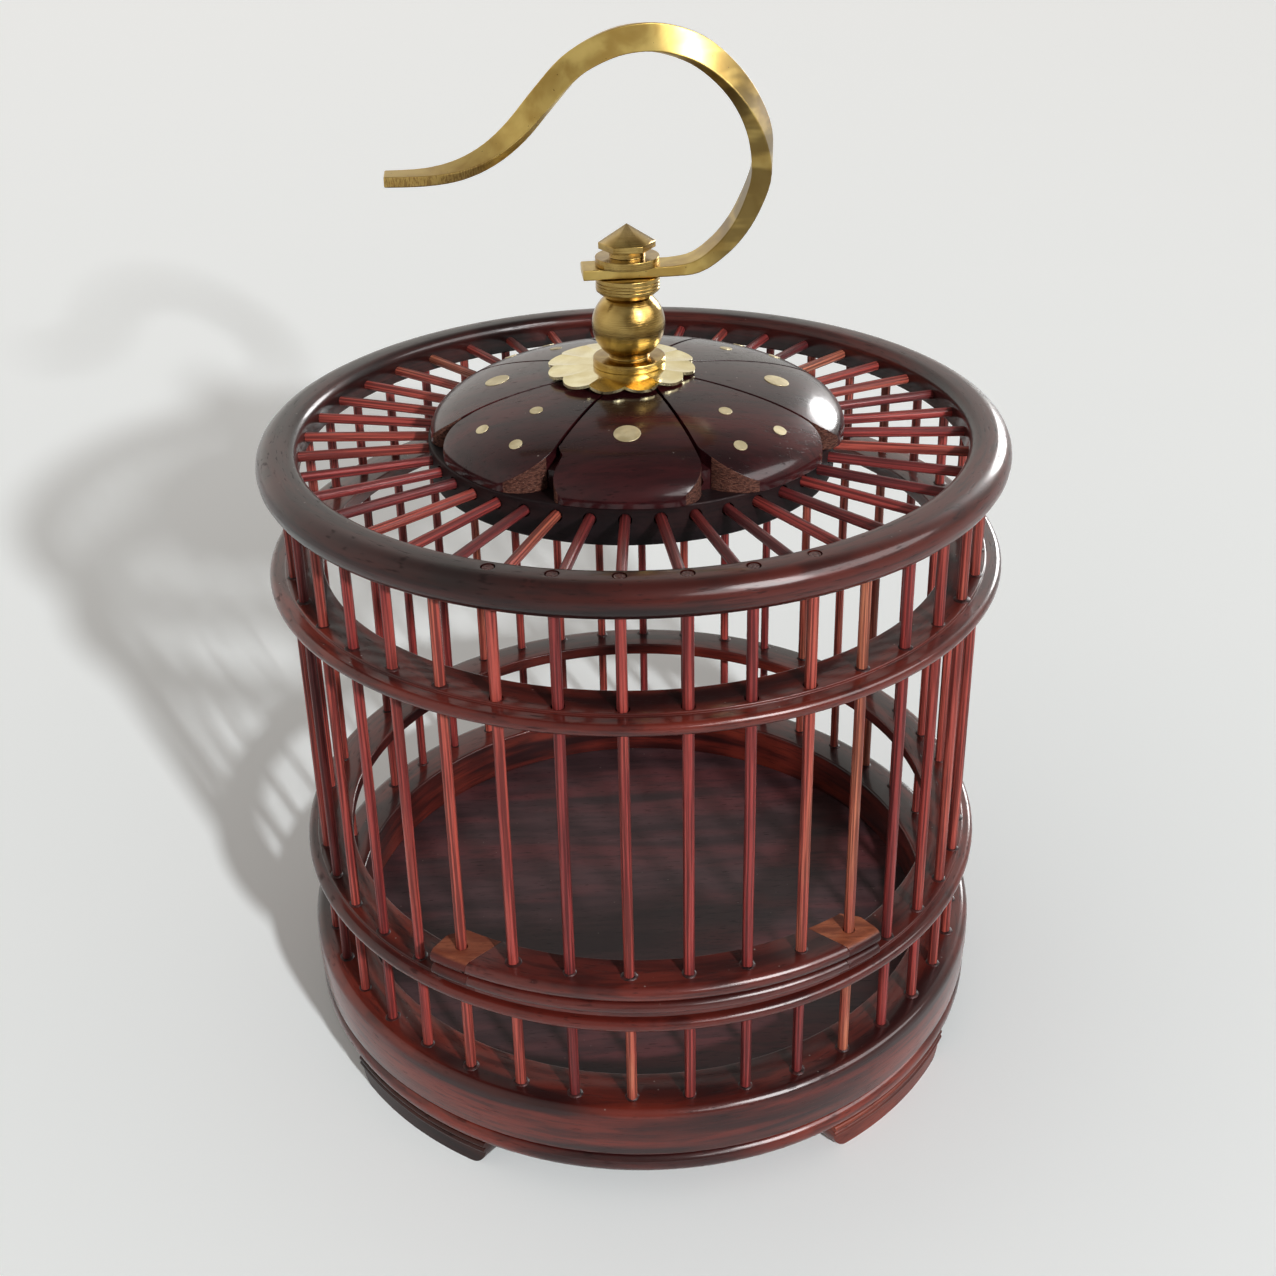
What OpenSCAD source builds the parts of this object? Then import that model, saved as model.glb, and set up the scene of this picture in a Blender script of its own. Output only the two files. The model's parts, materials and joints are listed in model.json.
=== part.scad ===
// Round hanging cricket cage: rosewood bars and rings, a lift door in front,
// a petalled dome with brass inlay, and a brass finial that carries a hook.
// Millimetres, +Z up, origin under the feet on the cage's axis, door at -Y.

/* [Cage] */
// Outside diameter of the top rim
cage_d = 110; // [100:1:124]
// Number of bars round the wall, a multiple of four
bar_count = 40; // [36:4:44]
// Diameter of every wooden bar
bar_d = 1.5; // [1.2:0.1:1.8]
// How far the circle of bars stands inside the rim's outside
bar_inset = 3.5; // [3.3:0.1:3.9]
// Bar length that shows below the lower hoop
low_gap = 14; // [9:0.5:20]
// Bar length that shows between the two hoops
mid_gap = 45.5; // [36:0.5:60]
// Bar length that shows above the upper hoop
top_gap = 13.5; // [9:0.5:20]

/* [Rings] */
// How far the hoops and the base reach in from the rim's outside
ring_in = 8; // [7.4:0.1:9.5]
// Thickness of a hoop
hoop_h = 2.2; // [1.8:0.1:3]
// How far the lower hoop stays inside the rim's outside
low_inset = 0.8; // [0.2:0.1:0.9]
// Width of the top rim
rim_w = 6; // [5.8:0.1:7]
// Height of the top rim
rim_h = 5; // [4.4:0.1:6]
// Rounding along the rim's inner top edge
rim_ease = 1.6; // [0.8:0.1:2]
// Height of the base ring
base_h = 11.8; // [11:0.2:16]
// How far the base stays inside the rim's outside
base_inset = 0.4; // [0.2:0.1:0.9]
// Height of the bead round the bottom of the base
base_bead = 2.9; // [2:0.1:3.4]
// Depth of the floor below the top of the base
floor_drop = 7.8; // [5:0.2:8.4]
// Thickness of the floor panel
floor_t = 2.8; // [1.6:0.2:3]

/* [Feet] */
// Height of a foot
foot_h = 4.7; // [3.6:0.1:7]
// Length of a foot, as an angle round the base
foot_span = 29; // [24:1:40]
// Angle of the front feet from the middle of the door
foot_az = 43; // [40:1:48]
// How far a foot's end curves in towards its sole
foot_curl = 2.6; // [1:0.1:4]

/* [Door] */
// Number of bars in the door
door_n = 6; // [4:2:8]
// Height of the door's rail
rail_h = 5.5; // [4.6:0.1:7]
// Rail width inside the circle of bars
rail_in = 3.2; // [2.6:0.1:3.6]
// Length of the rail past the guide bars
rail_over = 3.2; // [2.6:0.1:4.5]
// Distance from a guide bar to the scarf joint of its end block
scarf_set = 3.4; // [2.8:0.1:4.2]
// Turn of the scarf joint away from square
scarf_skew = 21; // [0:1:25]

/* [Roof] */
// Diameter of the roof hub
hub_d = 60; // [52:1:62]
// Height of the roof hub
hub_h = 5.6; // [5:0.1:8]
// Diameter of the petal dome
dome_d = 61; // [56:1:66]
// Rise of the dome above its edge
dome_rise = 8.2; // [6:0.1:12]
// How far the dome sits to the right of the screw
dome_shift = 0.9; // [0:0.1:1]
// Number of petals
petal_n = 8; // [6:2:8]
// Radius of a petal's lower corners
petal_r = 4; // [2:0.1:5]
// Width of the saw kerf between two petals
kerf_w = 0.5; // [0.3:0.1:0.8]
// Depth of the saw kerfs
kerf_depth = 2; // [1:0.1:2.6]
// Turn of the dome from the middle of the door
dome_turn = -6.5; // [-22:0.5:22]
// Diameter of the large inlay pins
large_dot = 3.7; // [2.4:0.1:4.4]
// Diameter of the small inlay pins
small_dot = 1.9; // [1.2:0.1:2.4]

/* [Finial] */
// Diameter of the screw through the roof
screw_d = 3; // [2.5:0.1:3.4]
// Diameter of the rosette
rosette_d = 22.4; // [18:0.2:26]
// Thickness of the rosette
rosette_t = 0.8; // [0.7:0.1:1.4]
// How far the rosette sits to the left of the screw
rosette_shift = 1.2; // [0:0.1:1.4]
// Number of lobes round the rosette
lobe_n = 12; // [10:1:16]
// Diameter of the finial's foot flange
flange_d = 10.6; // [9:0.1:11.6]
// Thickness of the finial's foot flange
flange_h = 1.2; // [0.8:0.1:1.6]
// Diameter of the finial's ball
ball_d = 10.6; // [9:0.1:12]
// Diameter of the drums above and below the hook
drum_d = 9.2; // [8:0.1:10]
// Width of the six-sided head, corner to corner
head_d = 8.2; // [7.4:0.1:9.4]

/* [Hook] */
// Thickness of the hook's strip
hook_t = 1.5; // [1:0.1:1.8]
// How much thicker the strip is where it bends up
hook_swell = 1.3; // [0:0.1:1.6]
// Width of the strip at its foot
hook_foot_w = 5.2; // [4.8:0.1:6.4]
// Width of the strip at its tip
hook_tip_w = 3.3; // [2.4:0.1:4]
// Rise of the hook's bow above its foot
hook_rise = 31.6; // [27:0.1:37]
// Turn of the hook about the finial
hook_turn = 3; // [-180:1:180]

/* [Fits] */
// Gap round a bar or pin that is glued in
glue_fit = 0.03; // [0.01:0.01:0.05]
// Gap round a bar that slides
slide_fit = 0.1; // [0.06:0.01:0.16]
// Gap round the screw where the hook turns on it
turn_fit = 0.06; // [0.03:0.01:0.1]
// Gap round the screw in wood and in loose brass
screw_fit = 0.2; // [0.1:0.05:0.3]
// Gap above and below the hook's foot
hook_play = 0.05; // [0.03:0.01:0.1]
// Gap under the closed door
door_gap = 0.05; // [0.03:0.01:0.2]

/* [Hidden] */
$fn = 96;
small_fn = 24;
over = 1;

// Plan
rim_r = cage_d / 2;
bar_r = rim_r - bar_inset;
pitch = 360 / bar_count;
ring_r = rim_r - ring_in;
low_r = rim_r - low_inset;
up_inset = 0.1;
up_r = rim_r - up_inset;
base_r = rim_r - base_inset;
step_wall = 0.35;
step_r = bar_r + bar_d / 2 + step_wall;
floor_lap = 2;
floor_r = ring_r + floor_lap;
rail_in_r = bar_r - rail_in;
rail_inset = 0.4;
rail_out_r = rim_r - rail_inset;
rail_half = (door_n / 2 + 0.5) * pitch + asin(rail_over / bar_r);
guide_az = (door_n / 2 + 0.5) * pitch;
scarf_az = guide_az - asin(scarf_set / bar_r);

// Heights
z_ledge = foot_h + base_h;
z_low = z_ledge + low_gap;
z_rest = z_low + hoop_h;
z_up = z_rest + mid_gap;
z_rim = z_up + hoop_h + top_gap;
z_top = z_rim + rim_h;
z_roof = z_rim + 0.4 * rim_h;
z_hub = z_roof - 0.69 * hub_h;
z_dome = z_hub + hub_h;
z_floor = z_ledge - floor_drop;
z_rail = z_rest + door_gap;
base_socket = 4;
rim_socket = rim_h - 1.2;
rail_socket = rail_h - 2;
roof_socket = rim_w - bar_inset - bar_d / 2 - 0.3;
hub_socket = 2.4;

// Dome: a half ellipse on a thin upright edge, with a flat seat on top
dome_r = dome_d / 2;
dome_edge = 0.6;
seat_r = 5;
function dome_z(r) = dome_edge + dome_rise * sqrt(max(0, 1 - pow(r / dome_r, 2)));
function dome_tilt(r) = atan(dome_rise * r / (dome_r * dome_r) / sqrt(1 - pow(r / dome_r, 2)));
z_seat = z_dome + dome_z(seat_r);
petal_az = 360 / petal_n;
corner_y = kerf_w / 2 + petal_r;
corner_x = sqrt(pow(dome_r - petal_r, 2) - corner_y * corner_y);
kerf_in = seat_r + 3;
kerf_past = 0.6;
above_dome = dome_rise + 3;

// Finial, upwards from the top of the rosette
screw_r = screw_d / 2;
z_fin = z_seat + rosette_t;
ball_r = ball_d / 2;
ball_lift = flange_h - 0.45;
z_ball = z_fin + ball_lift + ball_r;
drum_r = drum_d / 2;
z_drum = z_ball + 0.83 * ball_r;
drum_h = 2.85;
z_hook = z_drum + drum_h + hook_play;
z_cap = z_hook + hook_t + hook_play;
cap_drum_h = 1.2;
cap_neck_h = 1.1;
head_flat_h = 0.9;
head_point_h = 2.6;
washer_t = 0.5;
nut_h = 2.2;
screw_end = 0.4;
screw_up = 3.2;

// Hook: points of its centre line [out, up], its roll, its place between the foot and tip
// widths, and its share of the swelling at the bend
hook_path = [
  [-6.5, 0, 0, 0, 0], [-2, 0, 0, 0, 0], [2, 0, 0, 0, 0], [6, 0, 0, 0.05, 0],
  [9.8, 0.5, 0, 0.13, 0.3], [13.1, 2.7, 0, 0.22, 0.5], [15.7, 5.6, 0, 0.3, 0.7],
  [17.7, 9.2, 2, 0.37, 0.9], [19, 13.2, 8, 0.44, 1], [18.8, 18.2, 25, 0.5, 0.7],
  [16.9, 22.8, 35, 0.56, 0.3], [13.9, 26.7, 45, 0.63, 0.1], [10, 29.8, 60, 0.69, 0],
  [5.2, 31.5, 77, 0.75, 0], [0.9, 31.6, 88, 0.79, 0], [-3.1, 30.5, 86, 0.84, 0],
  [-7.2, 28.2, 78, 0.89, 0], [-11, 24.3, 66, 0.92, 0], [-14.8, 20.1, 49, 0.94, 0],
  [-18.6, 17.1, 33, 0.96, 0], [-22.8, 15.2, 20, 0.98, 0], [-27.5, 14.4, 9, 1, 0],
  [-33.2, 14.4, 5, 1, 0]
];
hook_steps = 4;
hook_n = len(hook_path);
function hook_at(i) = hook_path[max(0, min(hook_n - 1, i))];
function spline(a, b, c, d, t) =
  0.5 * (2 * b + (c - a) * t + (2 * a - 5 * b + 4 * c - d) * t * t
  + (3 * b - a - 3 * c + d) * t * t * t);
function hook_mid(i, t) = spline(hook_at(i - 1), hook_at(i), hook_at(i + 1), hook_at(i + 2), t);
hook_line = concat(
  [for (i = [0:hook_n - 2]) for (s = [0:hook_steps - 1]) hook_mid(i, s / hook_steps)],
  [hook_path[hook_n - 1]]
);
hook_size = hook_rise / max([for (p = hook_path) p[1]]);
hook_straight = 6;
function hook_scale(p) = [
  p[0] <= hook_straight && p[1] < 0.5 ? p[0] : hook_straight + (p[0] - hook_straight) * hook_size,
  max(0, p[1]) * hook_size
];
hook_rings = len(hook_line);
function flat(i) = hook_scale(hook_line[max(0, min(hook_rings - 1, i))]);
function heading(i) = (flat(i + 1) - flat(i - 1)) / norm(flat(i + 1) - flat(i - 1));
function hook_corner(i, side, face) =
  let (
    p = flat(i),
    h = heading(i),
    roll = hook_line[i][2],
    w = hook_foot_w + (hook_tip_w - hook_foot_w) * hook_line[i][3],
    t = hook_t + hook_swell * max(0, hook_line[i][4]),
    inner = side * w / 2 * sin(roll) - face * t / 2 * cos(roll),
    front = side * w / 2 * cos(roll) + face * t / 2 * sin(roll)
  )
  [p[0] - h[1] * inner, -front, p[1] + h[0] * inner];

// Places children at an angle from the middle of the door and a radius
module at_az(az, r = 0) {
  rotate([0, 0, az]) translate([0, -r, 0]) children();
}

// One upright bar or its hole
module upright(az, z0, z1, d) {
  at_az(az, bar_r) translate([0, 0, z0]) cylinder(d = d, h = z1 - z0, $fn = small_fn);
}

// Holes for the bars first to last, counted from the middle of the door
module bar_holes(first, last, z0, z1, gap) {
  for (k = [first:last]) upright((k + 0.5) * pitch, z0, z1, bar_d + 2 * gap);
}

// The fixed bars run round the back from guide to guide
wall_first = door_n / 2 + 1;
wall_last = bar_count - door_n / 2 - 2;

// A flat hoop with a step and a half-round bead round its edge
module hoop_shape(out_r) {
  bead_r = (hoop_h - 0.4) / 2;
  translate([ring_r, 0]) square([step_r - ring_r, hoop_h]);
  translate([ring_r, 0]) square([out_r - bead_r - ring_r, 2 * bead_r]);
  translate([out_r - bead_r, bead_r]) circle(bead_r, $fn = 32);
}

module base_shape() {
  bead_r = base_bead / 2;
  top_r = 1.4;
  band_z = base_bead + 0.8;
  band_r = 16;
  difference() {
    union() {
      translate([ring_r, 0]) square([base_r - 1.2 - ring_r, base_h]);
      translate([ring_r, 0]) square([base_r - 0.2 - bead_r - ring_r, base_bead]);
      translate([base_r - 0.2 - bead_r, bead_r]) circle(bead_r, $fn = 32);
      translate([base_r - top_r, base_h - top_r]) circle(top_r, $fn = 32);
      translate([ring_r, band_z]) square([base_r - 0.3 - ring_r, base_h - top_r - band_z]);
      intersection() {
        translate([base_r - band_r, (band_z + base_h - top_r) / 2]) circle(band_r, $fn = 192);
        translate([ring_r, band_z]) square([base_r + over - ring_r, base_h - top_r - band_z]);
      }
    }
    translate([ring_r - over, -over]) square([floor_r - ring_r + over, base_h - floor_drop + over]);
  }
}

module base_ring() {
  color("#5a2a22") difference() {
    translate([0, 0, foot_h]) rotate_extrude() base_shape();
    bar_holes(0, bar_count - 1, z_ledge - base_socket, z_ledge + over, glue_fit);
  }
}

// The panel bears up against the base's shoulder
module floor_panel() {
  color("#4a2a28") translate([0, 0, z_floor - floor_t]) cylinder(r = floor_r - glue_fit, h = floor_t);
}

// A curved foot: two thin beads over a plain lower part, ends curling in to the sole
module foot_shape() {
  r_in = floor_r + 0.4;
  r_out = base_r - 0.4;
  bead_r = 0.45;
  translate([r_in, 0]) square([r_out - bead_r - r_in, foot_h]);
  translate([r_out - bead_r, foot_h - bead_r]) circle(bead_r, $fn = small_fn);
  translate([r_out - bead_r, foot_h - 3.2 * bead_r]) circle(bead_r, $fn = small_fn);
}

module foot(az) {
  half = base_r * sin(foot_span / 2);
  lip = foot_h - 1;
  side = [for (a = [0:9:90]) [half - foot_curl * (1 - sin(a)), lip * (1 - cos(a))]];
  outline = concat(
    side,
    [[half, foot_h], [-half, foot_h]],
    [for (i = [len(side) - 1:-1:0]) [-side[i][0], side[i][1]]]
  );
  color("#6b2f26") intersection() {
    rotate_extrude() foot_shape();
    at_az(az) rotate([90, 0, 0]) linear_extrude(rim_r) polygon(outline);
  }
}

module foot_front_left() { foot(-foot_az); }
module foot_front_right() { foot(foot_az); }
module foot_back_left() { foot(foot_az - 180); }
module foot_back_right() { foot(180 - foot_az); }

module lower_hoop() {
  color("#5a2a22") difference() {
    translate([0, 0, z_low]) rotate_extrude() hoop_shape(low_r);
    bar_holes(0, bar_count - 1, z_low - over, z_rest + over, glue_fit);
  }
}

// The door's bars slide in the wider holes
module upper_hoop() {
  color("#5a2a22") difference() {
    translate([0, 0, z_up]) rotate_extrude() hoop_shape(up_r);
    bar_holes(wall_first - 1, wall_last + 1, z_up - over, z_up + hoop_h + over, glue_fit);
    bar_holes(-door_n / 2, door_n / 2 - 1, z_up - over, z_up + hoop_h + over, slide_fit);
  }
}

// Bull-nosed ring, eased along its inner top edge
module rim_shape() {
  nose = rim_h / 2;
  in_r = rim_r - rim_w;
  translate([in_r, 0]) square([rim_w - nose, rim_h - rim_ease]);
  translate([in_r + rim_ease, 0]) square([rim_w - nose - rim_ease, rim_h]);
  translate([in_r + rim_ease, rim_h - rim_ease]) circle(rim_ease, $fn = 32);
  translate([rim_r - nose, nose]) circle(nose, $fn = 48);
}

module top_rim() {
  color("#4d2620") difference() {
    translate([0, 0, z_rim]) rotate_extrude() rim_shape();
    bar_holes(wall_first - 1, wall_last + 1, z_rim - over, z_rim + rim_socket, glue_fit);
    bar_holes(-door_n / 2, door_n / 2 - 1, z_rim - over, z_top + over, slide_fit);
    roof_spokes(rim_r - rim_w - over, rim_r - rim_w + roof_socket, glue_fit);
  }
}

module wall_bars() {
  color("#8b3a2e")
    for (k = [wall_first:wall_last])
      upright((k + 0.5) * pitch, z_ledge - base_socket + 0.1, z_rim + rim_socket - 0.1, bar_d);
}

// The bars on which the door's end blocks run
module guide_bar(az) {
  color("#8b3a2e") upright(az, z_ledge - base_socket + 0.1, z_rim + rim_socket - 0.1, bar_d);
}

module guide_bar_left() { guide_bar(-guide_az); }
module guide_bar_right() { guide_bar(guide_az); }

module sill_bars() {
  color("#8b3a2e")
    for (k = [-door_n / 2:door_n / 2 - 1])
      upright((k + 0.5) * pitch, z_ledge - base_socket + 0.1, z_rest - 0.1, bar_d);
}

// Level bars, or their holes, between two radii
module roof_spokes(r0, r1, gap = 0) {
  for (k = [0:bar_count - 1])
    at_az((k + 0.5) * pitch, r0)
      translate([0, 0, z_roof])
        rotate([90, 0, 0])
          cylinder(d = bar_d + 2 * gap, h = r1 - r0, $fn = small_fn);
}

module roof_bars() {
  color("#8b3a2e") roof_spokes(hub_d / 2 - hub_socket + 0.1, rim_r - rim_w + roof_socket - 0.1);
}

module roof_hub() {
  ease = 0.5;
  color("#2e1b1c") difference() {
    translate([0, 0, z_hub]) union() {
      cylinder(d1 = hub_d - 2 * ease, d2 = hub_d, h = ease);
      translate([0, 0, ease]) cylinder(d = hub_d, h = hub_h - ease);
    }
    roof_spokes(hub_d / 2 - hub_socket, hub_d / 2 + over, glue_fit);
    translate([0, 0, z_hub - over]) cylinder(r = screw_r + screw_fit, h = hub_h + 2 * over, $fn = small_fn);
  }
}

// The open corner between two petals
module petal_notch() {
  tip = dome_r - petal_r;
  reach = dome_r + 3;
  difference() {
    polygon([
      [corner_x, -corner_y], [corner_x, corner_y],
      [corner_x * reach / tip, corner_y * reach / tip], [corner_x * reach / tip, -corner_y * reach / tip]
    ]);
    for (s = [-1, 1]) translate([corner_x, s * corner_y]) circle(petal_r, $fn = 64);
  }
}

module kerf_shape() {
  out = corner_x + kerf_past;
  floor_line = [for (i = [0:10]) let (r = kerf_in + (out - kerf_in) * i / 10) [r, dome_z(r) - kerf_depth]];
  polygon(concat(floor_line, [[out, above_dome], [kerf_in, above_dome]]));
}

// Places an inlay on the dome's curve, square to it
module on_dome(az, r) {
  translate([dome_shift, 0, 0])
    at_az(az + dome_turn, r)
      translate([0, 0, z_dome + dome_z(r)])
        rotate([dome_tilt(r), 0, 0]) children();
}

inlay_proud = 0.08;
inlay_depth = 2;

// An inlay pin, or its hole where there is a gap
module inlay_pin(d, gap) {
  above = gap > 0 ? over : inlay_proud;
  translate([0, 0, -inlay_depth - gap])
    cylinder(d = d + 2 * gap, h = inlay_depth + gap + above, $fn = small_fn);
}

// One large pin on every other petal
large_dot_r = 0.673 * dome_r;
module large_pins(gap = 0) {
  for (i = [0:2:petal_n - 1]) on_dome(i * petal_az, large_dot_r) inlay_pin(large_dot, gap);
}

// A triangle of three small pins on the petals between
small_dot_r = [0.61 * dome_r, 0.84 * dome_r];
small_dot_az = 0.19 * petal_az;
module small_pins(gap = 0) {
  for (i = [1:2:petal_n - 1]) {
    on_dome(i * petal_az, small_dot_r[0]) inlay_pin(small_dot, gap);
    for (s = [-1, 1]) on_dome(i * petal_az + s * small_dot_az, small_dot_r[1]) inlay_pin(small_dot, gap);
  }
}

module petal_dome() {
  seat_a = acos(seat_r / dome_r);
  curve = [for (i = [0:30]) let (a = seat_a * i / 30) [dome_r * cos(a), dome_edge + dome_rise * sin(a)]];
  color("#5c3a38") difference() {
    translate([dome_shift, 0, z_dome]) difference() {
      rotate_extrude() polygon(concat([[0, 0], [dome_r, 0]], curve, [[0, dome_z(seat_r)]]));
      for (i = [0:petal_n - 1])
        rotate([0, 0, (i + 0.5) * petal_az + dome_turn - 90]) {
          translate([0, 0, -over]) linear_extrude(above_dome) petal_notch();
          translate([0, kerf_w / 2, 0]) rotate([90, 0, 0]) linear_extrude(kerf_w) kerf_shape();
        }
    }
    large_pins(glue_fit);
    small_pins(glue_fit);
    translate([0, 0, z_dome - over])
      cylinder(r = screw_r + screw_fit, h = above_dome, $fn = small_fn);
  }
}

module large_inlays() { color("#c9b070") large_pins(); }
module small_inlays() { color("#c9b070") small_pins(); }

// Thin plate with round lobes, each hollowed by a shallow flute
module rosette() {
  lobe_az = 360 / lobe_n;
  lobe_r = rosette_d / 2 * sin(lobe_az / 2) * 1.05;
  flute_r = lobe_r * 1.15;
  flute_in = flange_d / 2 + rosette_shift + 0.1;
  flute_bite = 0.05;
  flute_depth = 0.45 * rosette_t;
  color("#e8dca8") translate([0, 0, z_seat]) difference() {
    translate([-rosette_shift, 0, 0]) difference() {
      linear_extrude(rosette_t) union() {
        circle(rosette_d / 2 - lobe_r);
        for (i = [0:lobe_n - 1]) at_az((i + 0.5) * lobe_az, rosette_d / 2 - lobe_r) circle(lobe_r, $fn = 48);
      }
      for (i = [0:lobe_n - 1])
        at_az((i + 0.5) * lobe_az, flute_in)
          translate([0, 0, rosette_t + flute_r - flute_bite])
            rotate([90 + atan(flute_depth / (rosette_d / 2 - flute_in)), 0, 0])
              cylinder(r = flute_r, h = rosette_d / 2, $fn = 48);
    }
    translate([0, 0, -over]) cylinder(r = screw_r + screw_fit, h = rosette_t + 2 * over, $fn = small_fn);
  }
}

// Foot flange, ball and lower drum on one screw
module finial_stem() {
  neck_r = 0.55 * ball_r;
  chamfer = 0.9;
  z_end = z_hub - washer_t - nut_h - screw_end;
  color("#b8964a") union() {
    translate([0, 0, z_fin]) cylinder(d = flange_d, h = flange_h, $fn = 64);
    translate([0, 0, z_fin]) cylinder(r = neck_r, h = ball_r, $fn = 64);
    translate([0, 0, z_ball]) sphere(ball_r, $fn = 64);
    translate([0, 0, z_drum]) cylinder(r1 = drum_r - chamfer, r2 = drum_r, h = chamfer, $fn = 64);
    translate([0, 0, z_drum + chamfer]) cylinder(r = drum_r, h = drum_h - chamfer, $fn = 64);
    translate([0, 0, z_end]) cylinder(r = screw_r, h = z_cap + screw_up - z_end, $fn = small_fn);
  }
}

// Screw cap: drum, neck and a six-sided head with a low point
module finial_cap() {
  neck_r = 0.56 * drum_r;
  z_neck = z_cap + cap_drum_h;
  z_head = z_neck + cap_neck_h;
  color("#b8964a") difference() {
    union() {
      translate([0, 0, z_cap]) cylinder(r = drum_r, h = cap_drum_h, $fn = 64);
      translate([0, 0, z_neck]) cylinder(r = neck_r, h = cap_neck_h, $fn = 48);
      translate([0, 0, z_head]) cylinder(d = head_d, h = head_flat_h, $fn = 6);
      translate([0, 0, z_head + head_flat_h]) cylinder(d1 = head_d, d2 = 0, h = head_point_h, $fn = 6);
    }
    translate([0, 0, z_cap - over]) cylinder(r = screw_r + glue_fit, h = screw_up + 0.2 + over, $fn = small_fn);
  }
}

module tie_washer() {
  color("#b8964a") translate([0, 0, z_hub - washer_t]) difference() {
    cylinder(d = 2.4 * screw_d, h = washer_t, $fn = 48);
    translate([0, 0, -over]) cylinder(r = screw_r + screw_fit, h = washer_t + 2 * over, $fn = small_fn);
  }
}

module tie_nut() {
  color("#b8964a") translate([0, 0, z_hub - washer_t - nut_h]) difference() {
    cylinder(d = 2.1 * screw_d, h = nut_h, $fn = 6);
    translate([0, 0, -over]) cylinder(r = screw_r + glue_fit, h = nut_h + 2 * over, $fn = small_fn);
  }
}

// Rail moulding: two reeds over a set-back foot
module rail_shape() {
  foot_z = 0.25 * rail_h;
  low_reed = 0.155 * rail_h;
  top_reed = 0.2 * rail_h;
  translate([rail_in_r, 0]) square([rail_out_r - 1.3 - rail_in_r, rail_h]);
  translate([rail_in_r, foot_z]) square([rail_out_r - low_reed - rail_in_r, 2 * low_reed]);
  translate([rail_out_r - low_reed, foot_z + low_reed]) circle(low_reed, $fn = 32);
  translate([rail_in_r, rail_h - 2 * top_reed]) square([rail_out_r - top_reed - rail_in_r, 2 * top_reed]);
  translate([rail_out_r - top_reed, rail_h - top_reed]) circle(top_reed, $fn = 32);
}

module rail_arc() {
  translate([0, 0, z_rail])
    rotate([0, 0, -90 - rail_half])
      rotate_extrude(angle = 2 * rail_half) rail_shape();
}

// Everything past the scarf joint on one side
module past_scarf(s, set = 0) {
  at_az(s * scarf_az, bar_r)
    rotate([0, 0, s * scarf_skew])
      translate([s > 0 ? set : -rim_r - set, -rim_r / 2, z_rail - over])
        cube([rim_r, rim_r, rail_h + 2 * over]);
}

module door_rail() {
  color("#5e2a22") difference() {
    rail_arc();
    past_scarf(-1);
    past_scarf(1);
    bar_holes(-door_n / 2, door_n / 2 - 1, z_rail + rail_h - rail_socket, z_rail + rail_h + over, glue_fit);
  }
}

// End block with the hole for its guide bar and its inner corner cut back
module door_end(s) {
  corner_turn = 40;
  corner_cut = 3 * rail_over;
  color("#a5652f") difference() {
    intersection() {
      rail_arc();
      past_scarf(s, glue_fit);
    }
    upright(s * guide_az, z_rail - over, z_rail + rail_h + over, bar_d + 2 * slide_fit);
    at_az(s * guide_az, rail_in_r)
      translate([s * 0.4 * rail_over, 0, z_rail - over])
        rotate([0, 0, s * corner_turn])
          translate([s > 0 ? 0 : -corner_cut, -corner_cut, 0])
            cube([corner_cut, 2 * corner_cut, rail_h + 2 * over]);
  }
}

module door_end_left() { door_end(-1); }
module door_end_right() { door_end(1); }

module door_bars() {
  color("#8b3a2e")
    for (k = [-door_n / 2:door_n / 2 - 1])
      upright((k + 0.5) * pitch, z_rail + rail_h - rail_socket + 0.1, z_top - 0.1, bar_d);
}

// One strip along the centre line, rolled a quarter turn over the bow and back
module hook_strip() {
  corners = [[-1, -1], [1, -1], [1, 1], [-1, 1]];
  points = [for (i = [0:hook_rings - 1]) for (c = corners) hook_corner(i, c[0], c[1])];
  last = 4 * (hook_rings - 1);
  sides = [
    for (i = [0:hook_rings - 2]) for (j = [0:3])
      let (a = 4 * i + j, b = 4 * i + (j + 1) % 4)
      each [[a, b, b + 4], [a, b + 4, a + 4]]
  ];
  ends = [[2, 1, 0], [3, 2, 0], [last, last + 1, last + 2], [last, last + 2, last + 3]];
  polyhedron(points, concat(sides, ends));
}

module hook() {
  color("#b8964a") rotate([0, 0, hook_turn]) difference() {
    translate([0, 0, z_hook + hook_t / 2]) hook_strip();
    translate([0, 0, z_hook - over]) cylinder(r = screw_r + turn_fit, h = hook_t + 2 * over, $fn = small_fn);
  }
}

base_ring();
floor_panel();
foot_front_left();
foot_front_right();
foot_back_left();
foot_back_right();
lower_hoop();
upper_hoop();
top_rim();
wall_bars();
guide_bar_left();
guide_bar_right();
sill_bars();
roof_bars();
roof_hub();
petal_dome();
large_inlays();
small_inlays();
rosette();
finial_stem();
finial_cap();
tie_washer();
tie_nut();
door_rail();
door_end_left();
door_end_right();
door_bars();
hook();
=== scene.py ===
import json
import math
import random

import bpy
from mathutils import Matrix, Vector

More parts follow.
